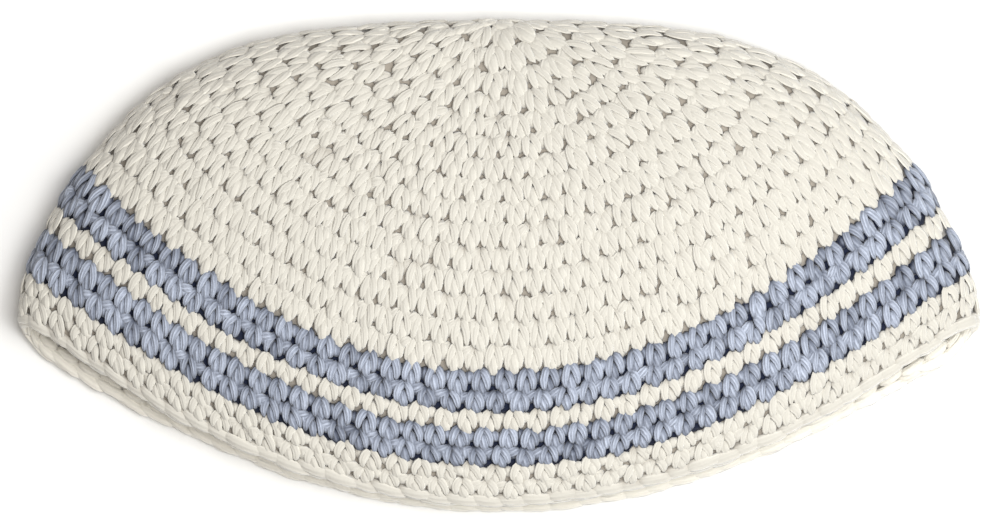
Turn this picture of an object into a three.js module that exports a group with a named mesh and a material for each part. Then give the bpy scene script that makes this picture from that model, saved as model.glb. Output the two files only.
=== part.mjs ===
// A crocheted skullcap, worked in rounds from the crown centre out to the rim, folded in half and lying flat.
// The crown fold is at +Y, the open rim at -Y, and the back layer lies on Z = 0. Millimetres, +Z up.
import * as THREE from "three";
import { mergeVertices } from "three/addons/utils/BufferGeometryUtils.js";

// Driving dimensions
const WALL = 4; // thickness of the crochet, a strand of yarn on each face
const FOLD_RADIUS = 7; // outside radius where the fabric turns over at a fold
const PRESS = 0.4; // how far the back layer gives where it lies on the table
const ROUND_HEIGHT = 3.8; // one round of stitches at the rim, the lowest of them
const YARN_GAP = 0.3; // between the last round of one yarn and the first of the next
const TURN_SOFTNESS = 0.25; // rounds off each round of stitches where it turns over a fold, 0 is a crease
const ROLL_CLOSENESS = 8; // how close to the folds that turn runs up the front and down the back
const SEGMENTS = 72; // steps round the cap
const FOLD_CROWDING = 0.65; // how much closer together those steps are at the folds

// How the cap lies. A row is one round of stitches, seen from above with the crown at the top:
//   round                   counted from the crown centre, the last row is the finished rim
//   halfWidth, foldDrop     the two folds: distance from the middle line, and down from the crown
//   frontReach, backReach   the middle of the upper and of the lower layer: distance down from the crown
//   frontRise               the middle of the upper layer: height above the folds
//   frontSweep, backSweep   the line from fold to fold: 1 is half an ellipse, 2 a parabola
//   foldRoll                how fast that line runs up the front and down the back as it comes off a fold
const COLUMNS = [
  "round", "halfWidth", "foldDrop", "frontReach", "backReach",
  "frontRise", "frontSweep", "backSweep", "foldRoll",
];
const LIE = [
  [0, 0, 0, 0, 0, 0, 2, 2, 0],
  [0.5, 3.2, 0, 0.6, 0.6, 2.6, 2, 2, 0],
  [1, 6.4, 0, 2.3, 2.3, 4.9, 1.9, 1.9, 0],
  [2, 13, 0.1, 7.6, 7.6, 7, 1.4, 1.4, 0],
  [4, 26.4, 0.7, 18.2, 18.4, 8.8, 1.15, 1.15, 0],
  [8, 52.3, 4.1, 37.8, 38.2, 11.3, 1.1, 1.1, 0],
  [12, 76.3, 14.8, 58.7, 59.4, 12.6, 1.5, 1.5, 0],
  [16, 95.4, 33.6, 81.1, 81.7, 11.8, 1.95, 1.9, 0],
  [19, 104.1, 48.2, 94.4, 95.8, 10.2, 2.2, 1.95, 1],
  [21, 108.4, 58.6, 102.6, 103.6, 8.9, 2.25, 1.97, 3.5],
  [23.5, 110.6, 70.6, 111.1, 112.3, 7, 2.35, 2, 10],
].map((cells) => Object.fromEntries(COLUMNS.map((column, i) => [column, cells[i]])));
const RIM = LIE.at(-1);
const CROWN_Y = RIM.backReach / 2; // centres the lying cap on the origin

// The yarns in the order they are worked, each with the rounds its wall is bent at, from first to last.
const CREAM = 0xece5d6;
const BLUE = 0x9aa8c2;
const YARNS = [
  { name: "crown", rounds: [0, 0.5, 1, 1.5, 2, 3, 4, 5.5, 7, 8, 9, 10, 11, 12, 13, 14.5, 16], colour: CREAM },
  { name: "upper_blue_band", rounds: [16, 17, 18], colour: BLUE },
  { name: "middle_cream_round", rounds: [18, 19], colour: CREAM },
  { name: "lower_blue_band", rounds: [19, 20, 21], colour: BLUE },
  { name: "edge_band", rounds: [21, 22, 23, RIM.round], colour: CREAM },
];

// The table's row at any round, by cubic curves through the rows with the slope of their neighbours.
function lieAt(round) {
  const found = LIE.findIndex((row, i) => i > 0 && row.round >= round);
  const next = found > 0 ? found : LIE.length - 1;
  const [a, b] = [LIE[next - 1], LIE[next]];
  const [before, after] = [LIE[Math.max(0, next - 2)], LIE[Math.min(LIE.length - 1, next + 1)]];
  const span = b.round - a.round;
  const t = (round - a.round) / span;
  const row = {};
  for (const column of Object.keys(a)) {
    const slopeA = (span * (b[column] - before[column])) / (b.round - before.round);
    const slopeB = (span * (after[column] - a[column])) / (after.round - a.round);
    const rise = b[column] - a[column];
    row[column] = a[column] + t * slopeA + t * t * (3 * rise - 2 * slopeA - slopeB)
      + t * t * t * (slopeA + slopeB - 2 * rise);
  }
  return row;
}

// Share of the way from the fold (0) to the middle of a layer (1) that a round has swept at an angle.
function sweepShare(angle, sweep) {
  const soft = TURN_SOFTNESS ** 2;
  const from = soft ** (sweep / 2);
  return ((Math.sin(angle) ** 2 + soft) ** (sweep / 2) - from) / ((1 + soft) ** (sweep / 2) - from);
}

// How boxy a round is between the folds and the middle of a layer, so that it turns at the fold radius.
function boxiness(row, layer) {
  const soft = TURN_SOFTNESS ** 2;
  const { reach, rise, sweep } = layer(row);
  const share = ((sweep / 2) * soft ** (sweep / 2 - 1)) / ((1 + soft) ** (sweep / 2) - soft ** (sweep / 2));
  const leaving = Math.hypot(row.halfWidth / 2, (reach - row.foldDrop) * share);
  return (4 * FOLD_RADIUS * leaving) / rise ** 2;
}

// The two layers at a row of the table. The back layer is as deep as a fold, and gives a little on the table.
const front = (row) => ({ reach: row.frontReach, sweep: row.frontSweep, rise: row.frontRise });
const back = (row) => ({
  reach: row.backReach,
  sweep: row.backSweep,
  rise: Math.min(row.frontRise, FOLD_RADIUS),
});

// Lays a height on the table: flat once it is pressed under, and easing off the table without a corner.
function onTable(height) {
  const ease = 0.75 * PRESS;
  if (height <= -ease) return 0;
  return height < ease ? (height + ease) ** 2 / (4 * ease) : height;
}

// A point on the outside of the cap: angle 0 is the right fold, a quarter turn the middle of the front layer.
function outside(round, angle) {
  const row = lieAt(round);
  const layer = Math.sin(angle) >= 0 ? front : back;
  const { reach, rise, sweep } = layer(row);
  const power = boxiness(lieAt(Math.max(round, 1)), layer);
  const lift = rise * Math.sqrt(Math.max(0, 1 - Math.abs(Math.cos(angle)) ** power));
  const height = layer === front ? lift : -lift * (1 + PRESS / FOLD_RADIUS);
  const roll = row.foldRoll * Math.sin(angle) * Math.cos(angle) ** ROLL_CLOSENESS;
  return new THREE.Vector3(
    row.halfWidth * Math.cos(angle),
    CROWN_Y - row.foldDrop - (reach - row.foldDrop) * sweepShare(angle, sweep) + roll,
    onTable(FOLD_RADIUS + height),
  );
}

// The direction out of the fabric there, from two short steps along the surface.
function outward(round, angle) {
  const step = 0.01;
  if (round < step) return new THREE.Vector3(0, 1, 0);
  const alongRound = outside(round, angle + step).sub(outside(round, angle - step));
  const towardsRim = outside(Math.min(round + step, RIM.round), angle).sub(outside(round - step, angle));
  return alongRound.cross(towardsRim).normalize();
}

// The wall of one yarn's rounds. It is spun flat, as a ring whose radius is the round and whose height is
// the depth below the outside, and each corner of that ring is then laid where the cap lies.
function yarnWall(rounds) {
  const half = YARN_GAP / 2 / ROUND_HEIGHT;
  const first = rounds[0] === 0 ? 0 : rounds[0] + half;
  const last = rounds.at(-1) === RIM.round ? RIM.round : rounds.at(-1) - half;
  const bends = [first, ...rounds.slice(1, -1), last];
  const profile = [
    ...bends.map((round) => new THREE.Vector2(round, -WALL)),
    new THREE.Vector2(last, -WALL / 2),
    ...bends.toReversed().map((round) => new THREE.Vector2(round, 0)),
  ];
  if (first > 0) profile.push(new THREE.Vector2(first, -WALL / 2), profile[0].clone());
  const ring = new THREE.LatheGeometry(profile, SEGMENTS);
  ring.deleteAttribute("normal");
  ring.deleteAttribute("uv");
  const corners = ring.getAttribute("position");
  for (let i = 0; i < corners.count; i++) {
    const round = Math.hypot(corners.getX(i), corners.getZ(i));
    const spun = Math.atan2(corners.getZ(i), corners.getX(i));
    const angle = spun - (FOLD_CROWDING / 2) * Math.sin(2 * spun);
    const place = outside(round, angle).addScaledVector(outward(round, angle), corners.getY(i));
    corners.setXYZ(i, place.x, place.y, place.z);
  }
  return mergeVertices(ring, 1e-3);
}

const cap = new THREE.Group();
for (const yarn of YARNS) {
  const cotton = new THREE.MeshStandardMaterial({ color: yarn.colour, roughness: 0.9, metalness: 0 });
  const wall = new THREE.Mesh(yarnWall(yarn.rounds), cotton);
  wall.name = yarn.name;
  cap.add(wall);
}

export default cap;
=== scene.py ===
"""A crocheted skullcap, folded in half and lying flat, dressed stitch by stitch over its solid walls."""

import math

import bmesh
import bpy
import numpy as np
from bpy.props import FloatProperty, FloatVectorProperty, IntProperty, PointerProperty
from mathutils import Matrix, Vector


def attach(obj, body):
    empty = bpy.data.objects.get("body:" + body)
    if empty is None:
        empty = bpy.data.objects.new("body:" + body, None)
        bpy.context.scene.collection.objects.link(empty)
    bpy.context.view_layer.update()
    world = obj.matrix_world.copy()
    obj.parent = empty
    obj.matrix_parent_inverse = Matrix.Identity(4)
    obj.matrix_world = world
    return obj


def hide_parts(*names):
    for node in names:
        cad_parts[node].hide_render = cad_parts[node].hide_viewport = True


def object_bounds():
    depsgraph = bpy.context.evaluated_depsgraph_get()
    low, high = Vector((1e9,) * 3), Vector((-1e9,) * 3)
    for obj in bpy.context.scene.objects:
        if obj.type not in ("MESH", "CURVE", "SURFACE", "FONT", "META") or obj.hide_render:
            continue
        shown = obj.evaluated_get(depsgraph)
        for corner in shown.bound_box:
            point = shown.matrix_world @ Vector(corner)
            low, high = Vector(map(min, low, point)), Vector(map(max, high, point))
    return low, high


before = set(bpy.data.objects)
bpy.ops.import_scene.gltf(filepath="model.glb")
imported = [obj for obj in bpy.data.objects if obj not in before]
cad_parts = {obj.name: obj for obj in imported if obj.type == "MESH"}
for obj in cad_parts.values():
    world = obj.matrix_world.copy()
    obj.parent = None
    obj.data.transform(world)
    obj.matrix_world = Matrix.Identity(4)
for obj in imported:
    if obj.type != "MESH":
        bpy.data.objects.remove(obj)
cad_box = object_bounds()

bl_info = {
    "name": "Crocheted Skullcap",
    "version": (1, 0, 0),
    "blender": (4, 5, 0),
    "location": "View3D > Sidebar > Skullcap",
    "description": "Works the stitches of a crocheted skullcap that lies folded in half",
    "category": "Object",
}

MM = 0.001

# How the cap lies, in millimetres, a row for a round of stitches, seen from above with the crown at the top:
#   round                     counted from the crown centre, the last row is the finished rim
#   half_width, fold_drop     the two folds: distance from the middle line, and down from the crown
#   front_reach, back_reach   the middle of the upper and of the lower layer: distance down from the crown
#   front_rise                the middle of the upper layer: height above the folds
#   front_sweep, back_sweep   the line from fold to fold: 1 is half an ellipse, 2 a parabola
#   fold_roll                 how fast that line runs up the front and down the back as it comes off a fold
LIE_COLUMNS = (
    "round", "half_width", "fold_drop", "front_reach", "back_reach",
    "front_rise", "front_sweep", "back_sweep", "fold_roll",
)
LIE = np.array([
    (0, 0, 0, 0, 0, 0, 2, 2, 0),
    (0.5, 3.2, 0, 0.6, 0.6, 2.6, 2, 2, 0),
    (1, 6.4, 0, 2.3, 2.3, 4.9, 1.9, 1.9, 0),
    (2, 13, 0.1, 7.6, 7.6, 7, 1.4, 1.4, 0),
    (4, 26.4, 0.7, 18.2, 18.4, 8.8, 1.15, 1.15, 0),
    (8, 52.3, 4.1, 37.8, 38.2, 11.3, 1.1, 1.1, 0),
    (12, 76.3, 14.8, 58.7, 59.4, 12.6, 1.5, 1.5, 0),
    (16, 95.4, 33.6, 81.1, 81.7, 11.8, 1.95, 1.9, 0),
    (19, 104.1, 48.2, 94.4, 95.8, 10.2, 2.2, 1.95, 1),
    (21, 108.4, 58.6, 102.6, 103.6, 8.9, 2.25, 1.97, 3.5),
    (23.5, 110.6, 70.6, 111.1, 112.3, 7, 2.35, 2, 10),
])
RIM_ROUND = LIE[-1, 0]
CENTRE_ROUND = 0.03  # the innermost round that yarn is laid at
PAST_RIM = 0.4  # how far the rim's chain may hang past the finished rim, in rounds
FOLD_RADIUS = 7.0  # outside radius where the fabric turns over at a fold
TURN_SOFTNESS = 0.25  # rounds off each round where it turns over a fold
ROLL_CLOSENESS = 8  # how close to the folds that turn runs up the front and down the back
PRESS = 0.4  # how far the back layer gives where it lies on the table
TABLE_EASE = 0.75 * PRESS  # height in which it eases off the table again
WALL = 4.0  # thickness of the crochet
CROWN_Y = cad_box[1][1] / MM

# The pieces in the order they are worked: the node each one stands for, its rounds and its yarn.
PIECE_COLUMNS = ("piece", "node", "first", "last", "slot")
PIECES = [dict(zip(PIECE_COLUMNS, row)) for row in (
    ("crown_centre_stitches", "crown", 1, 9, "cream_yarn"),
    ("crown_side_stitches", "crown", 10, 13, "cream_yarn"),
    ("crown_skirt_stitches", "crown", 14, 16, "cream_yarn"),
    ("upper_blue_stitches", "upper_blue_band", 17, 18, "blue_yarn"),
    ("middle_cream_stitches", "middle_cream_round", 19, 19, "cream_yarn"),
    ("lower_blue_stitches", "lower_blue_band", 20, 21, "blue_yarn"),
    ("edge_stitches", "edge_band", 22, 23, "cream_yarn"),
)]
LAST_ROUND = PIECES[-1]["last"]

# How wide the stitches of a round are worked, in millimetres: closer below the crown, looser in the stripes.
STITCH_WIDTHS = (
    (1, 3.6), (3, 5.2), (6, 5.5), (9, 4.6), (13, 4.4), (16, 4.4), (17, 5.2), (21, 5.3), (22, 5.6), (23, 5.6),
)
RIM_STITCH = STITCH_WIDTHS[-1][1]  # the width that the strands below are drawn for
CENTRE_STITCHES = 6  # in the ring that the first round is worked into
EASING_STEPS = 16  # how often each stitch of a round evens out its distance from its neighbours
CREST_OVERLAP = 0.12  # how far the stitches of a round reach up over the round before, in rounds

# The strands of one stitch, seen from outside with the crown at the top. A row is a point on the strand:
# across in stitch widths to the right, down in round heights towards the rim, depth in millimetres inwards.
# The two legs start side by side at the crest of the stitch and spread down to the round below.
LEFT_LEG = (
    (0.04, -0.58, 1.3), (-0.14, -0.44, 0.85), (-0.26, -0.10, 0.5), (-0.29, 0.20, 0.42), (-0.25, 0.53, 0.8),
)
RIGHT_LEG = (
    (-0.08, -0.59, 1.3), (0.11, -0.45, 0.8), (0.25, -0.12, 0.5), (0.29, 0.18, 0.42), (0.28, 0.50, 0.8),
)
# The post behind the legs, which closes the slit between them.
POST = ((0.0, -0.30, 1.3), (-0.02, 0.0, 0.9), (0.0, 0.26, 0.8), (0.04, 0.5, 0.85), (0.10, 0.80, 1.3))
# The yarn in the gap between one stitch and the next. It lies deeper in the first round of another yarn.
GAP = ((0.49, -0.62, 1.3), (0.49, -0.40, 0.95), (0.49, -0.20, 0.9), (0.49, 0.0, 1.0), (0.49, 0.2, 1.5))
CHANGE_GAP = (
    (0.49, -0.50, 1.5), (0.49, -0.32, 1.15), (0.49, -0.14, 1.05), (0.49, 0.02, 1.15), (0.49, 0.18, 1.5),
)
# The top loop of the round before, where it shows between one stitch and the next.
TOP_BAR = (
    (0.16, -0.18, 1.2), (0.34, -0.27, 0.85), (0.50, -0.35, 0.7), (0.65, -0.43, 0.75), (0.82, -0.52, 1.2),
)
# The plain loops that the inside shows.
INNER_BAR = ((-0.62, 0.02, 2.8), (-0.3, -0.08, 3.2), (0, -0.12, 3.3), (0.3, -0.08, 3.2), (0.62, 0.02, 2.8))
INNER_LOOP = ((-0.62, 0.30, 2.8), (-0.3, 0.40, 3.2), (0, 0.44, 3.3), (0.3, 0.40, 3.2), (0.62, 0.30, 2.8))
# The loops of the chain that finishes the rim, from the outside of the edge round to the inside.
RIM_OUTER = (
    (-0.95, 0.54, 2.0), (-0.48, 0.65, 1.2), (0.02, 0.73, 1.05), (0.50, 0.79, 1.25), (0.95, 0.82, 2.1),
)
RIM_MIDDLE = (
    (-0.95, 0.68, 2.0), (-0.48, 0.78, 2.0), (0.02, 0.84, 2.0), (0.50, 0.84, 2.0), (0.95, 0.78, 2.0),
)
RIM_INNER = (
    (-0.95, 0.82, 2.1), (-0.48, 0.83, 2.8), (0.02, 0.79, 3.0), (0.50, 0.71, 2.9), (0.95, 0.58, 2.4),
)

# How each kind of strand differs from the yarn's own size. The fewer steps are for strands that hardly show.
LEG = {"foot": 0.76}  # drawn thin where it goes into the round below
BAR = {"plump": 1.05}
FILL = {"plump": 1.15, "around": 6, "along": 6}
CHANGE_FILL = {"plump": 1.25, "around": 6, "along": 6}
INNER = {"plump": 1.35, "around": 6, "along": 5}
CHAIN = {"plump": 1.3}
CREAM_RISE = 0.55  # the cream is worked tighter, which presses its outer strands flat
STRAND_BIAS = 0.85  # below 1, a strand is plumpest nearer its start
STRAND_BLUNTNESS = 0.38  # 1 tapers like a grain of rice, 0 is blunt like a peg

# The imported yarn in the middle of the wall: its two faces in millimetres below the outside.
CORE_OUTER, CORE_INNER = 1.6, 2.4
CORE_CENTRE = 0.05  # the round that it starts from at the crown
CORE_SHORT = 0.5  # how far it stops short of the rim, in rounds
CORE_STEPS = 96  # round the cap

# How much hand-made stitches differ from one another, as standard deviations:
STITCH_SLIP, STITCH_FALL = 0.02, 0.03  # in stitch widths and round heights
STITCH_SIZE, STITCH_TURN, STITCH_LIFT = 0.035, 0.06, 0.12  # a share, radians and millimetres
# and the strands of each, across, down, in depth and in thickness, and all over their surface.
STRAND_JITTER = (0.025, 0.035, 0.1, 0.06)
FLUFF = 0.06

# Painted shade and painted light on the two yarns, with how they stand out:
#   lit_to, dark_from                painted shade: depth in millimetres down to which the yarn keeps its colour,
#                                    and from which it is painted wholly in its shade colour
#   painted_side_light               painted light: the sides of a strand against its top, 1 is as light
#   groove, streak, stitch, fibre    what is left of the colour as painted shade between two plies, and as tone that
#                                    differs at random on a drawn-out fibre, on the darkest stitch and in the
#                                    fuzz
#   relief, sheen                    how strongly these stand out, and how much light the fuzz catches
FINISH_COLUMNS = ("lit_to", "dark_from", "painted_side_light", "groove", "streak", "stitch", "fibre", "relief", "sheen")
FINISHES = {
    "cream_yarn": dict(zip(FINISH_COLUMNS, (0.6, 1.72, 1.55, 0.91, 0.92, 0.95, 0.95, 0.35, 0.7))),
    "blue_yarn": dict(zip(FINISH_COLUMNS, (0.0, 1.0, 1.0, 0.68, 0.6, 0.9, 0.85, 0.7, 0.3))),
}
BRIGHTEST = 0.98  # cotton gives back no more light than this
PLIES = 7.0  # seen round a strand
PLY_TWIST = 6.0  # radians that they turn along it
STREAKS = 8.0  # drawn-out fibres across a strand, a little under 0.3 mm each
STREAK_DRAWN = 0.5  # below 1, they are drawn out along it
STREAK_APART = 300.0  # keeps the fibres of one stitch from looking like those of another
FUZZ_PERIOD = 0.6  # from one loose fibre to the next in millimetres, coarser than real so that it shows
STREAK_RELIEF, FUZZ_RELIEF = 4.0, 2.5  # against the plies
RELIEF_HEIGHT = 0.12  # millimetres
NOISE_LOW, NOISE_HIGH = 0.3, 0.7  # where most of a noise pattern's values lie
TOP_FACING, SIDE_FACING = 0.9, -0.1  # how far out of the fabric a strand's top and its sides face
MATT = 0.9  # roughness of cotton and of paper
COTTON_SHINE = 0.2  # well under the usual 0.5
SHEEN_ROUGHNESS = 0.5

# The studio, in metres: soft light from overhead, and a cooler one from the right, where the photograph is
# brightest. The colours are linear.
FLOOR_SIZE = 3.0
AIR_COLOUR, AIR_STRENGTH = (1, 0.965, 0.925, 1), 0.35
SOFTBOX_COLUMNS = ("name", "place", "size", "watts", "colour")
SOFTBOXES = [dict(zip(SOFTBOX_COLUMNS, row)) for row in (
    ("top_softbox", (0.045, 0.0, 0.4), 0.25, 1.22, (1, 1, 1)),
    ("key_softbox", (0.20, -0.03, 0.30), 0.35, 0.92, (0.95, 0.985, 1)),
)]
SENSOR_WIDTH = 36  # millimetres
VIEW_CENTRE = (0.0004, 0.0001)  # what the camera stands over
VIEW_HEIGHT = 0.007  # the height on the cap at which the frame is as wide as asked
VIEW_END = 20


def linear(hex_colour):
    """An sRGB hex colour as linear red, green and blue."""
    shares = [int(hex_colour[i:i + 2], 16) / 255 for i in (1, 3, 5)]
    return [c / 12.92 if c <= 0.04045 else ((c + 0.055) / 1.055) ** 2.4 for c in shares]


class YarnSettings(bpy.types.PropertyGroup):
    """The yarn and how it is worked."""

    stitch_scale: FloatProperty(
        name="Stitch scale", description="Width of the stitches against the width they are worked at",
        default=1.0, subtype="FACTOR")
    round_height: FloatProperty(
        name="Round height", description="Height of one round of stitches",
        default=4.8 * MM, unit="LENGTH")
    strand_width: FloatProperty(
        name="Strand width", description="Width of the plump middle of a strand, along the fabric",
        default=2.25 * MM, unit="LENGTH")
    strand_height: FloatProperty(
        name="Strand height", description="Thickness of a strand through the fabric",
        default=1.1 * MM, unit="LENGTH")
    lean: FloatProperty(
        name="Lean",
        description="How far each round's stitches sit to the left of the round before, in stitches",
        default=0.25, subtype="FACTOR")
    unevenness: FloatProperty(
        name="Unevenness", description="How much one hand-made stitch differs from the next",
        default=1.0, subtype="FACTOR")
    seed: IntProperty(name="Seed", description="Picks another set of uneven stitches", default=7)
    cream: FloatVectorProperty(
        name="Cream", description="The light yarn", subtype="COLOR", default=linear("#cdc9bf"))
    # Painted shade: the colour that the cream is painted in where it lies deep between the strands.
    cream_painted_shade: FloatVectorProperty(
        name="Cream, deep", description="The light yarn down between the strands", subtype="COLOR",
        default=linear("#968d81"))
    blue: FloatVectorProperty(
        name="Blue", description="The blue yarn", subtype="COLOR", default=linear("#d4dced"))
    # Painted shade: the colour that the blue is painted in where it lies deep between the strands.
    blue_painted_shade: FloatVectorProperty(
        name="Blue, deep", description="The blue yarn down between the strands", subtype="COLOR",
        default=linear("#1c2338"))


class StudioSettings(bpy.types.PropertyGroup):
    """The stage that the cap lies on."""

    floor: FloatVectorProperty(
        name="Floor", description="The pale floor", subtype="COLOR", default=linear("#fbfaf8"))
    frame_width: FloatProperty(
        name="Frame width", description="Width of the view at the cap", default=0.2282, unit="LENGTH")
    lens: FloatProperty(
        name="Lens", description="Focal length", default=200.0, subtype="DISTANCE_CAMERA")


class SkullcapSettings(bpy.types.PropertyGroup):
    """Everything a user would change."""

    yarn: PointerProperty(type=YarnSettings)
    studio: PointerProperty(type=StudioSettings)


# The lying shape


def lie_at(rounds):
    """The table's row at any round, by cubic curves through the rows with the slope of their neighbours."""
    knots = LIE[:, 0]
    right = np.clip(np.searchsorted(knots, rounds), 1, len(knots) - 1)
    left = right - 1
    before = np.maximum(left - 1, 0)
    after = np.minimum(right + 1, len(knots) - 1)
    span = (knots[right] - knots[left])[..., None]
    t = (rounds - knots[left])[..., None] / span
    slope_left = span * (LIE[right] - LIE[before]) / (knots[right] - knots[before])[..., None]
    slope_right = span * (LIE[after] - LIE[left]) / (knots[after] - knots[left])[..., None]
    rise = LIE[right] - LIE[left]
    rows = LIE[left] + t * slope_left + t**2 * (3 * rise - 2 * slope_left - slope_right)
    rows += t**3 * (slope_left + slope_right - 2 * rise)
    return dict(zip(LIE_COLUMNS, np.moveaxis(rows, -1, 0)))


def outside(rounds, angles):
    """Points on the outside of the cap, in millimetres.

    Angle 0 is the right fold, and a quarter turn is the middle of the front layer.
    """
    front = np.sin(angles) >= 0
    soft = TURN_SOFTNESS**2

    def layer(row):
        reach = np.where(front, row["front_reach"], row["back_reach"])
        rise = np.where(front, row["front_rise"], np.minimum(row["front_rise"], FOLD_RADIUS))
        return reach, rise, np.where(front, row["front_sweep"], row["back_sweep"]) / 2

    # How boxy a round is between the folds and the middle of a layer, so that it turns at the fold radius.
    near = lie_at(np.maximum(rounds, 1))
    reach, rise, sweep = layer(near)
    share = sweep * soft ** (sweep - 1) / ((1 + soft) ** sweep - soft**sweep)
    leaving = np.hypot(near["half_width"] / 2, (reach - near["fold_drop"]) * share)
    boxiness = 4 * FOLD_RADIUS * leaving / rise**2

    row = lie_at(rounds)
    reach, rise, sweep = layer(row)
    swept = ((np.sin(angles) ** 2 + soft) ** sweep - soft**sweep) / ((1 + soft) ** sweep - soft**sweep)
    lift = rise * np.sqrt(np.maximum(0, 1 - np.abs(np.cos(angles)) ** boxiness))
    height = FOLD_RADIUS + np.where(front, lift, -lift * (1 + PRESS / FOLD_RADIUS))
    roll = row["fold_roll"] * np.sin(angles) * np.cos(angles) ** ROLL_CLOSENESS
    eased = (np.maximum(height, -TABLE_EASE) + TABLE_EASE) ** 2 / (4 * TABLE_EASE)
    return np.stack([
        row["half_width"] * np.cos(angles),
        CROWN_Y - row["fold_drop"] - (reach - row["fold_drop"]) * swept + roll,
        np.where(height < TABLE_EASE, eased, height),
    ], axis=-1)


def outward(rounds, angles):
    """Directions out of the fabric, from two short steps along the surface."""
    step = 0.01
    along = outside(rounds, angles + step) - outside(rounds, angles - step)
    towards_rim = outside(rounds + step, angles) - outside(rounds - step, angles)
    normal = np.cross(along, towards_rim)
    return normal / np.linalg.norm(normal, axis=-1, keepdims=True)


class Girths:
    """Lengths round the cap, so that stitches can be counted off evenly along each round."""

    def __init__(self, rows=320, steps=720):
        self.rounds = np.linspace(CENTRE_ROUND, RIM_ROUND + PAST_RIM, rows)
        angles = np.linspace(0, 2 * math.pi, steps + 1)
        points = outside(self.rounds[:, None], angles[None, :])
        lengths = np.linalg.norm(np.diff(points, axis=1), axis=-1)
        run = np.concatenate([np.zeros((len(lengths), 1)), np.cumsum(lengths, axis=1)], axis=1)
        self.whole = run[:, -1]
        shares = np.linspace(0, 1, steps + 1)
        self.angles = np.stack([np.interp(shares, row / row[-1], angles) for row in run])
        self.steps = steps

    def at(self, rounds):
        """Lengths round the cap in millimetres."""
        return np.interp(rounds, self.rounds, self.whole)

    def angle(self, rounds, shares):
        """The angle at a share of the way round, from the right fold."""
        row = (rounds - self.rounds[0]) / (self.rounds[1] - self.rounds[0])
        row = np.clip(row, 0, len(self.rounds) - 1.001)  # just inside the last row, which has none after it
        column = np.mod(shares, 1) * self.steps
        i, j = row.astype(int), np.minimum(column.astype(int), self.steps - 1)
        u, v = row - i, column - j
        upper = self.angles[i, j] * (1 - v) + self.angles[i, j + 1] * v
        lower = self.angles[i + 1, j] * (1 - v) + self.angles[i + 1, j + 1] * v
        return upper * (1 - u) + lower * u


girths = Girths()


def lay(rounds, shares, depths):
    """Lays points of the fabric where the cap lies, in metres.

    Points that would be under the table are pressed flat on it.
    """
    step_short = 0.02  # leaves room for the step of outward
    rounds = np.clip(rounds, CENTRE_ROUND, girths.rounds[-1] - step_short)
    angles = girths.angle(rounds, shares)
    points = outside(rounds, angles) - outward(rounds, angles) * depths[..., None]
    points[..., 2] = np.maximum(points[..., 2], 0)
    return points * MM


# Stitches


def on_path(path, t):
    """Points along a smooth curve through the path's rows, for t from 0 to 1."""
    rows = np.array(path)
    rows = np.concatenate([2 * rows[:1] - rows[1:2], rows, 2 * rows[-1:] - rows[-2:-1]])
    place = np.clip(t, 0, 1) * (len(path) - 1)
    i = np.minimum(place.astype(int), len(path) - 2)
    t = (place - i)[:, None]
    a, b, c, d = rows[i], rows[i + 1], rows[i + 2], rows[i + 3]
    return b + t * (c - a) / 2 + t**2 * (a - 2.5 * b + 2 * c - d / 2) + t**3 * (1.5 * (b - c) + (d - a) / 2)


class Strand:
    """One strand of a stitch, drawn out of a ball along its path.

    Its middle line is in stitch widths, round heights and millimetres of depth, as the path is. Its thickness
    about that line is in millimetres.
    """

    def __init__(self, yarn, path, plump=1.0, foot=1.0, rise=1.0, around=8, along=7):
        shape = bmesh.new()
        bmesh.ops.create_uvsphere(shape, u_segments=around, v_segments=along, radius=1)
        ball = np.array([v.co for v in shape.verts])
        self.loops = np.array([v.index for f in shape.faces for v in f.verts])
        self.corners = np.array([len(f.verts) for f in shape.faces])
        shape.free()

        # The ball's poles become the strand's ends. Depth runs inwards, so it is turned over where directions
        # out of the fabric are worked out.
        unit = np.array([RIM_STITCH * yarn.stitch_scale, yarn.round_height / MM, -1])
        t = np.arccos(np.clip(ball[:, 2], -1, 1)) / math.pi
        turn = np.arctan2(ball[:, 1], ball[:, 0])
        self.middle = on_path(path, t)
        step = 0.02
        run = (on_path(path, t + step) - on_path(path, t - step)) * unit
        run /= np.linalg.norm(run, axis=1, keepdims=True)
        side = np.cross(run, [0, 0, 1])
        side /= np.linalg.norm(side, axis=1, keepdims=True)
        up = np.cross(side, run)
        swell = np.sin(math.pi * t**STRAND_BIAS) ** STRAND_BLUNTNESS
        thick = (plump * swell * (1 + (foot - 1) * t))[:, None] / 2 / MM
        across = np.cos(turn)[:, None] * side * yarn.strand_width
        through = np.sin(turn)[:, None] * up * yarn.strand_height * rise
        self.thickness = thick * (across + through) * (1, 1, -1)
        self.lay = np.stack([np.cos(turn), np.sin(turn), t], axis=1)


def stitch_shares(yarn):
    """Where the stitches of each round stand, as shares of the way round the cap.

    Each one is worked into a stitch of the round before. Here and there two are worked into one, to widen the
    cap, or one is missed, where the rounds are worked looser.
    """
    shares, rounds = np.arange(CENTRE_STITCHES) / CENTRE_STITCHES, {}
    for k in range(1, LAST_ROUND + 1):
        width = yarn.stitch_scale * np.interp(k, *zip(*STITCH_WIDTHS))
        count = round(girths.at(k - 0.5) / width)
        extra = min(count - len(shares), len(shares))
        stagger = k % 3 / 3  # so that the changes of one round don't stand under those of the round before
        changed = ((np.arange(abs(extra)) + stagger) * len(shares) / max(abs(extra), 1)).astype(int)
        if extra > 0:
            between = (shares + np.append(shares[1:], shares[0] + 1)) / 2
            shares = np.sort(np.append(shares, between[changed]))
        else:
            shares = np.delete(shares, changed)
        for _ in range(EASING_STEPS):
            before, after = np.append(shares[-1] - 1, shares[:-1]), np.append(shares[1:], shares[0] + 1)
            shares = shares / 2 + (before + after) / 4
        shares = shares + yarn.lean / len(shares)
        rounds[k] = shares
    return rounds


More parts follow.
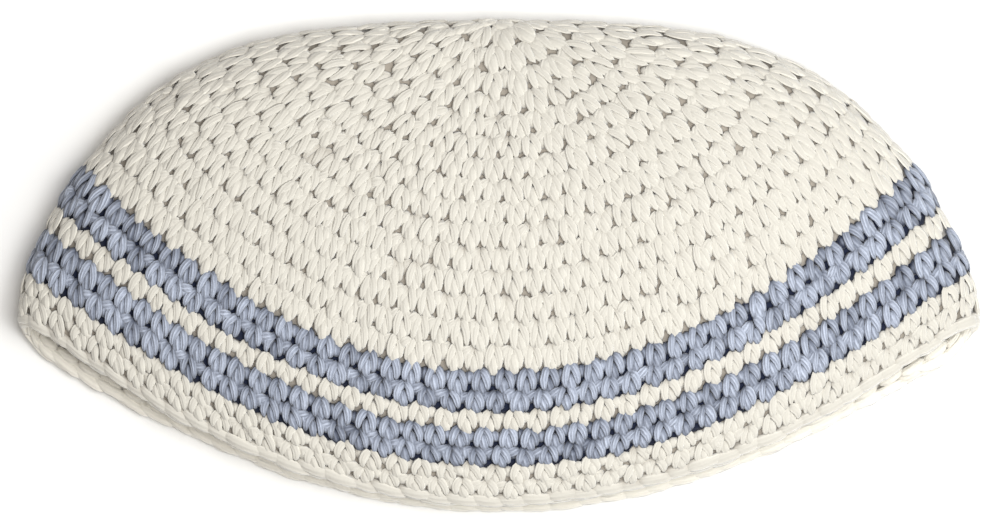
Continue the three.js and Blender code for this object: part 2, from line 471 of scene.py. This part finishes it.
class Stitches:
    """The places of every stitch in a run of rounds, each a little different from the next."""

    def __init__(self, yarn, first, last):
        worked = stitch_shares(yarn)
        rounds, shares, widths = [], [], []
        for k in range(first, last + 1):
            row = worked[k]
            rounds.append(np.full(len(row), k - 0.5 - CREST_OVERLAP))
            shares.append(row)
            widths.append((np.append(row[1:], row[0] + 1) - np.append(row[-1] - 1, row[:-1])) / 2)
        self.rounds, self.shares, self.widths = map(np.concatenate, (rounds, shares, widths))
        chance = np.random.default_rng(yarn.seed + first)
        uneven = yarn.unevenness
        n = len(self.rounds)
        self.chance, self.uneven = chance, uneven
        self.shares += self.widths * chance.normal(0, STITCH_SLIP * uneven, n)
        self.rounds = self.rounds + chance.normal(0, STITCH_FALL * uneven, n)
        self.sizes = 1 + chance.normal(0, STITCH_SIZE * uneven, n)
        self.turns = chance.normal(0, STITCH_TURN * uneven, n)
        self.lifts = chance.normal(0, STITCH_LIFT * uneven, n)
        self.tints = chance.random(n)
        self.pitches = girths.at(self.rounds) * self.widths
        self.heights = 2 * np.linalg.norm(
            outside(self.rounds, girths.angle(self.rounds, self.shares))
            - outside(self.rounds - 0.5, girths.angle(self.rounds - 0.5, self.shares)), axis=-1)

    def work(self, strand):
        """One strand of every stitch, as a chunk of mesh."""
        across, down, depth = strand.middle.T
        wide, high, deep = strand.thickness.T
        size, turn = self.sizes[:, None], self.turns[:, None]
        n, m = len(self.rounds), len(across)
        slip, fall, lift, plump = (
            self.chance.normal(0, by * self.uneven, (n, 1)) for by in STRAND_JITTER)
        fluff = 1 + plump + self.chance.normal(0, FLUFF * self.uneven, (n, m))
        x = size * (across + slip + turn * down) + fluff * wide / self.pitches[:, None]
        y = size * (down + fall - turn * across) + fluff * high / self.heights[:, None]
        depths = depth + lift + fluff * deep + self.lifts[:, None]
        rounds = self.rounds[:, None] + y
        points = lay(rounds, self.shares[:, None] - x * self.widths[:, None], depths)
        from_rim = (RIM_ROUND - rounds) * self.heights[:, None]
        return {
            "points": points.reshape(-1, 3),
            "loops": (strand.loops[::-1] + m * np.arange(n)[:, None]).ravel(),
            "corners": np.tile(strand.corners[::-1], n),
            "lay": np.tile(strand.lay, (n, 1)),
            # Below the outside, the inside or the rim, whichever is nearest. The material paints shade by
            # this depth.
            "depth": np.minimum(np.minimum(depths, WALL - depths), from_rim).ravel(),
            "tint": np.repeat(self.tints, m),
        }


def core_wall(first, last):
    """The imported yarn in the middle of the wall, behind the strands of both faces, as a chunk of mesh."""
    start, end = first - 1, min(last, RIM_ROUND - CORE_SHORT)
    rounds = np.linspace(max(start, CORE_CENTRE), end, int(2 * (end - start)) + 1)
    faces = ((CORE_OUTER, rounds), (CORE_INNER, rounds[::-1]))
    shape = bmesh.new()
    ring = [shape.verts.new((k, 0, depth)) for depth, ks in faces for k in ks]
    edges = [shape.edges.new(pair) for pair in zip(ring, ring[1:] + ring[:1])]
    bmesh.ops.spin(
        shape, geom=ring + edges, cent=(0, 0, 0), axis=(0, 0, 1), angle=2 * math.pi, steps=CORE_STEPS,
        use_merge=True)
    flat = np.array([v.co for v in shape.verts])
    depths = flat[:, 2].copy()
    around = np.arctan2(flat[:, 1], flat[:, 0]) / (2 * math.pi)
    for vert, place in zip(shape.verts, lay(np.hypot(flat[:, 0], flat[:, 1]), around, depths)):
        vert.co = place
    bmesh.ops.recalc_face_normals(shape, faces=shape.faces)
    shape.verts.index_update()
    # Painted shade: the core lies deep enough to be painted almost wholly in the yarn's shade colour, and
    # shows as shade through the holes between the strands; it also takes the painted light of a strand's
    # side.
    strand_side = (1.0, 0.0, 0.5)  # the core looks like the side of a strand, halfway along it
    chunk = {
        "points": np.array([v.co for v in shape.verts]),
        "loops": np.array([v.index for f in shape.faces for v in f.verts]),
        "corners": np.array([len(f.verts) for f in shape.faces]),
        "lay": np.tile(strand_side, (len(depths), 1)),
        "depth": np.minimum(depths, WALL - depths),
        "tint": np.full(len(depths), 0.5),
    }
    shape.free()
    return chunk


def joined_piece(name, chunks):
    """One object from chunks of mesh, with the attributes that the yarn's material reads."""
    starts = np.cumsum([0] + [len(chunk["points"]) for chunk in chunks[:-1]])
    loops = np.concatenate([chunk["loops"] + start for chunk, start in zip(chunks, starts)])
    points, corners, strand_lay, depth, tint = (
        np.concatenate([chunk[key] for chunk in chunks])
        for key in ("points", "corners", "lay", "depth", "tint"))
    mesh = bpy.data.meshes.new(name)
    mesh.vertices.add(len(points))
    mesh.vertices.foreach_set("co", points.astype(np.float32).ravel())
    mesh.loops.add(len(loops))
    mesh.loops.foreach_set("vertex_index", loops.astype(np.int32))
    mesh.polygons.add(len(corners))
    mesh.polygons.foreach_set("loop_start", np.concatenate([[0], np.cumsum(corners)[:-1]]).astype(np.int32))
    mesh.polygons.foreach_set("use_smooth", np.ones(len(corners), dtype=bool))
    mesh.update(calc_edges=True)
    if mesh.validate():
        raise RuntimeError(f"{name} has bad faces")
    mesh.attributes.new("strand_lay", "FLOAT_VECTOR", "POINT").data.foreach_set(
        "vector", strand_lay.astype(np.float32).ravel())
    for key, values in (("yarn_depth", depth), ("stitch_tint", tint)):
        mesh.attributes.new(key, "FLOAT", "POINT").data.foreach_set("value", values.astype(np.float32))
    piece = bpy.data.objects.new(name, mesh)
    bpy.context.scene.collection.objects.link(piece)
    return piece


def work_piece(settings, row):
    """Works one piece of PIECES and sets it in the frame."""
    yarn, first, last = settings.yarn, row["first"], row["last"]
    stitches = Stitches(yarn, first, last)
    chunks = [core_wall(first, last)]
    rise = CREAM_RISE if row["slot"] == "cream_yarn" else 1.0
    chunks += [stitches.work(Strand(yarn, path, rise=rise, **LEG)) for path in (LEFT_LEG, RIGHT_LEG)]

    # The first round of another yarn leaves its gaps more open, and no loop of the old yarn shows in them.
    same_yarn = row["slot"] in [other["slot"] for other in PIECES if other["last"] == first - 1]
    filled_from = first if same_yarn else first + 1
    if filled_from <= last:
        between = Stitches(yarn, filled_from, last)
        chunks.append(between.work(Strand(yarn, TOP_BAR, rise=rise, **BAR)))
        chunks.append(between.work(Strand(yarn, GAP, **FILL)))
    if not same_yarn:
        chunks.append(Stitches(yarn, first, first).work(Strand(yarn, CHANGE_GAP, **CHANGE_FILL)))

    chunks.append(stitches.work(Strand(yarn, POST, **FILL)))
    chunks += [stitches.work(Strand(yarn, path, **INNER)) for path in (INNER_BAR, INNER_LOOP)]
    if last == LAST_ROUND:
        rim = Stitches(yarn, last, last)
        chunks += [rim.work(Strand(yarn, path, **CHAIN)) for path in (RIM_OUTER, RIM_MIDDLE, RIM_INNER)]
    piece = joined_piece(row["piece"], chunks)
    piece.data.materials.append(yarn_material(settings, row["slot"]))
    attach(piece, "root")
    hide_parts(row["node"])


# Materials


def add_node(tree, kind, inputs=None, **settings):
    """Adds a node with its settings, and links or sets each of its inputs."""
    node = tree.nodes.new(kind)
    for name, value in settings.items():
        setattr(node, name, value)
    for socket, value in (inputs or {}).items():
        if isinstance(value, bpy.types.NodeSocket):
            tree.links.new(value, node.inputs[socket])
        else:
            node.inputs[socket].default_value = value
    return node


def yarn_material(settings, slot):
    """Plied cotton, spun and dyed: dull and soft, with fine plies, painted shade between the strands and
    painted light on their sides.
    """
    name = f"plied_cotton_{slot}"
    if name in bpy.data.materials:
        return bpy.data.materials[name]
    yarn, finish = settings.yarn, FINISHES[slot]
    # deep is the yarn's painted shade colour, for where it lies deep between the strands.
    top, deep = (yarn.cream, yarn.cream_painted_shade) if slot == "cream_yarn" else (yarn.blue, yarn.blue_painted_shade)
    # Painted light: the paler copy of the yarn's colour for the sides of its strands.
    painted_side_light = [min(BRIGHTEST, finish["painted_side_light"] * share) for share in top]
    material = bpy.data.materials.new(name)
    material.use_nodes = True
    tree = material.node_tree
    tree.nodes.clear()

    # The plies run along the strand with a slow twist, and show as lighter ridges and darker grooves in the
    # bump, and as painted shade in the grooves of the colour.
    strand = add_node(tree, "ShaderNodeAttribute", attribute_name="strand_lay")
    tint = add_node(tree, "ShaderNodeAttribute", attribute_name="stitch_tint")
    parts = add_node(tree, "ShaderNodeSeparateXYZ", {0: strand.outputs["Vector"]})
    turn = add_node(
        tree, "ShaderNodeMath", {0: parts.outputs["Y"], 1: parts.outputs["X"]}, operation="ARCTAN2")
    twist = add_node(tree, "ShaderNodeMath", {0: parts.outputs["Z"], 1: PLY_TWIST}, operation="MULTIPLY")
    phase = add_node(
        tree, "ShaderNodeMath", {0: turn.outputs[0], 1: PLIES, 2: twist.outputs[0]}, operation="MULTIPLY_ADD")
    ply = add_node(tree, "ShaderNodeMath", {0: phase.outputs[0]}, operation="SINE")

    # Fibres drawn out along the strand, in another order on every stitch.
    stretched = add_node(tree, "ShaderNodeVectorMath", {
        0: strand.outputs["Vector"], 1: (1.0, 1.0, STREAK_DRAWN),
    }, operation="MULTIPLY")
    apart = add_node(tree, "ShaderNodeMath", {0: tint.outputs["Fac"], 1: STREAK_APART}, operation="MULTIPLY")
    streak = add_node(tree, "ShaderNodeTexNoise", {
        "Vector": stretched.outputs[0], "W": apart.outputs[0], "Scale": STREAKS / 2, "Detail": 2.0,
    }, noise_dimensions="4D")

    # Loose fibres, about a third of a millimetre across.
    place = add_node(tree, "ShaderNodeTexCoord")
    fibre = add_node(tree, "ShaderNodeTexNoise", {
        "Vector": place.outputs["Object"], "Scale": 1 / (FUZZ_PERIOD * MM), "Detail": 3.0,
    })

    def span(value, low, high, to_low, to_high):
        return add_node(tree, "ShaderNodeMapRange", {
            "Value": value, "From Min": low, "From Max": high, "To Min": to_low, "To Max": to_high,
        }).outputs[0]

    # Painted shade: the deeper the yarn lies, the further its colour is painted over with its shade colour.
    # Painted shade in the grooves between plies, and tone that differs at random on fibres and stitches, take
    # a share of what is left.
    depth = add_node(tree, "ShaderNodeAttribute", attribute_name="yarn_depth")
    light = span(depth.outputs["Fac"], finish["lit_to"], finish["dark_from"], 1.0, 0.0)
    for value in (
        span(ply.outputs[0], -1.0, 1.0, finish["groove"], 1.0),
        span(streak.outputs["Fac"], NOISE_LOW, NOISE_HIGH, finish["streak"], 1.0),
        span(tint.outputs["Fac"], 0.0, 1.0, finish["stitch"], 1.0),
        span(fibre.outputs["Fac"], NOISE_LOW, NOISE_HIGH, finish["fibre"], 1.0),
    ):
        light = add_node(tree, "ShaderNodeMath", {0: light, 1: value}, operation="MULTIPLY").outputs[0]

    # Painted light: the sides of a strand are painted in a paler copy of its colour than its top, which lifts
    # the shade between the strands.
    soft = add_node(tree, "ShaderNodeMix", {
        "Factor": span(parts.outputs["Y"], TOP_FACING, SIDE_FACING, 0.0, 1.0), 6: (*top, 1), 7: (*painted_side_light, 1),
    }, data_type="RGBA")
    colour = add_node(
        tree, "ShaderNodeMix", {"Factor": light, 6: (*deep, 1), 7: soft.outputs[2]}, data_type="RGBA")

    relief = ply.outputs[0]
    for value, by in ((streak.outputs["Fac"], STREAK_RELIEF), (fibre.outputs["Fac"], FUZZ_RELIEF)):
        relief = add_node(
            tree, "ShaderNodeMath", {0: value, 1: by, 2: relief}, operation="MULTIPLY_ADD").outputs[0]
    bump = add_node(tree, "ShaderNodeBump", {
        "Height": relief, "Strength": finish["relief"], "Distance": RELIEF_HEIGHT * MM,
    })
    cotton = add_node(tree, "ShaderNodeBsdfPrincipled", {
        "Base Color": colour.outputs[2], "Normal": bump.outputs[0], "Roughness": MATT,
        "Specular IOR Level": COTTON_SHINE, "Sheen Weight": finish["sheen"],
        "Sheen Roughness": SHEEN_ROUGHNESS,
    })
    add_node(tree, "ShaderNodeOutputMaterial", {"Surface": cotton.outputs[0]})
    return material


# Operators


def work_pieces(context, *nodes):
    """Works the pieces that stand for these nodes, in order."""
    for row in PIECES:
        if row["node"] in nodes:
            work_piece(context.scene.skullcap, row)
    return {"FINISHED"}


class SKULLCAP_OT_crown(bpy.types.Operator):
    """Work the cream crown from its centre out to the first stripe"""

    bl_idname = "skullcap.crown"
    bl_label = "Work Crown"

    def execute(self, context):
        return work_pieces(context, "crown")


class SKULLCAP_OT_bands(bpy.types.Operator):
    """Work the blue bands, and the cream round between them"""

    bl_idname = "skullcap.bands"
    bl_label = "Work Bands"

    def execute(self, context):
        return work_pieces(context, "upper_blue_band", "middle_cream_round", "lower_blue_band")


class SKULLCAP_OT_edge(bpy.types.Operator):
    """Work the cream edge and the chain that finishes the rim"""

    bl_idname = "skullcap.edge"
    bl_label = "Work Edge"

    def execute(self, context):
        return work_pieces(context, "edge_band")


class SKULLCAP_OT_studio(bpy.types.Operator):
    """Set the pale floor, the soft lights and the camera that looks straight down"""

    bl_idname = "skullcap.studio"
    bl_label = "Set Studio"

    def execute(self, context):
        scene, studio = context.scene, context.scene.skullcap.studio
        shape = bmesh.new()
        bmesh.ops.create_grid(shape, x_segments=1, y_segments=1, size=FLOOR_SIZE)
        mesh = bpy.data.meshes.new("floor")
        shape.to_mesh(mesh)
        shape.free()
        floor = bpy.data.objects.new("floor", mesh)
        scene.collection.objects.link(floor)
        # White paper, pressed matt: an even pale ground with no shine.
        paper = bpy.data.materials.new("matt_white_paper")
        paper.use_nodes = True
        surface = paper.node_tree.nodes["Principled BSDF"]
        surface.inputs["Base Color"].default_value = (*studio.floor, 1)
        surface.inputs["Roughness"].default_value = MATT
        mesh.materials.append(paper)

        world = bpy.data.worlds.new("studio_air")
        world.use_nodes = True
        air = world.node_tree.nodes["Background"]
        air.inputs["Color"].default_value = AIR_COLOUR
        air.inputs["Strength"].default_value = AIR_STRENGTH
        scene.world = world
        for box in SOFTBOXES:
            light = bpy.data.lights.new(box["name"], "AREA")
            light.size = box["size"]
            light.energy = box["watts"]
            light.color = box["colour"]
            lamp = bpy.data.objects.new(box["name"], light)
            lamp.location = box["place"]
            lamp.rotation_euler = (-lamp.location).to_track_quat("-Z", "Y").to_euler()
            scene.collection.objects.link(lamp)

        lens = bpy.data.cameras.new("camera")
        lens.lens = studio.lens
        lens.sensor_width = SENSOR_WIDTH
        lens.clip_end = VIEW_END
        camera = bpy.data.objects.new("camera", lens)
        camera.location = (*VIEW_CENTRE, VIEW_HEIGHT + studio.frame_width * studio.lens / lens.sensor_width)
        scene.collection.objects.link(camera)
        scene.camera = camera
        scene.view_settings.view_transform = "Standard"
        return {"FINISHED"}


class SKULLCAP_PT_sidebar(bpy.types.Panel):
    """Lists the steps of making the cap"""

    bl_idname = "SKULLCAP_PT_sidebar"
    bl_label = "Crocheted Skullcap"
    bl_space_type = "VIEW_3D"
    bl_region_type = "UI"
    bl_category = "Skullcap"

    def draw(self, context):
        settings = context.scene.skullcap
        for group in (settings.yarn, settings.studio):
            for name in group.bl_rna.properties.keys():
                if name not in ("rna_type", "name"):
                    self.layout.prop(group, name)
        for step in STEPS:
            self.layout.operator(step.bl_idname)


STEPS = (SKULLCAP_OT_crown, SKULLCAP_OT_bands, SKULLCAP_OT_edge, SKULLCAP_OT_studio)
CLASSES = (YarnSettings, StudioSettings, SkullcapSettings, *STEPS, SKULLCAP_PT_sidebar)


def register():
    for each in CLASSES:
        bpy.utils.register_class(each)
    bpy.types.Scene.skullcap = PointerProperty(type=SkullcapSettings)


def unregister():
    del bpy.types.Scene.skullcap
    for each in reversed(CLASSES):
        bpy.utils.unregister_class(each)


def main():
    register()
    bpy.ops.skullcap.crown()
    bpy.ops.skullcap.bands()
    bpy.ops.skullcap.edge()
    bpy.ops.skullcap.studio()


if __name__ == "__main__":
    main()
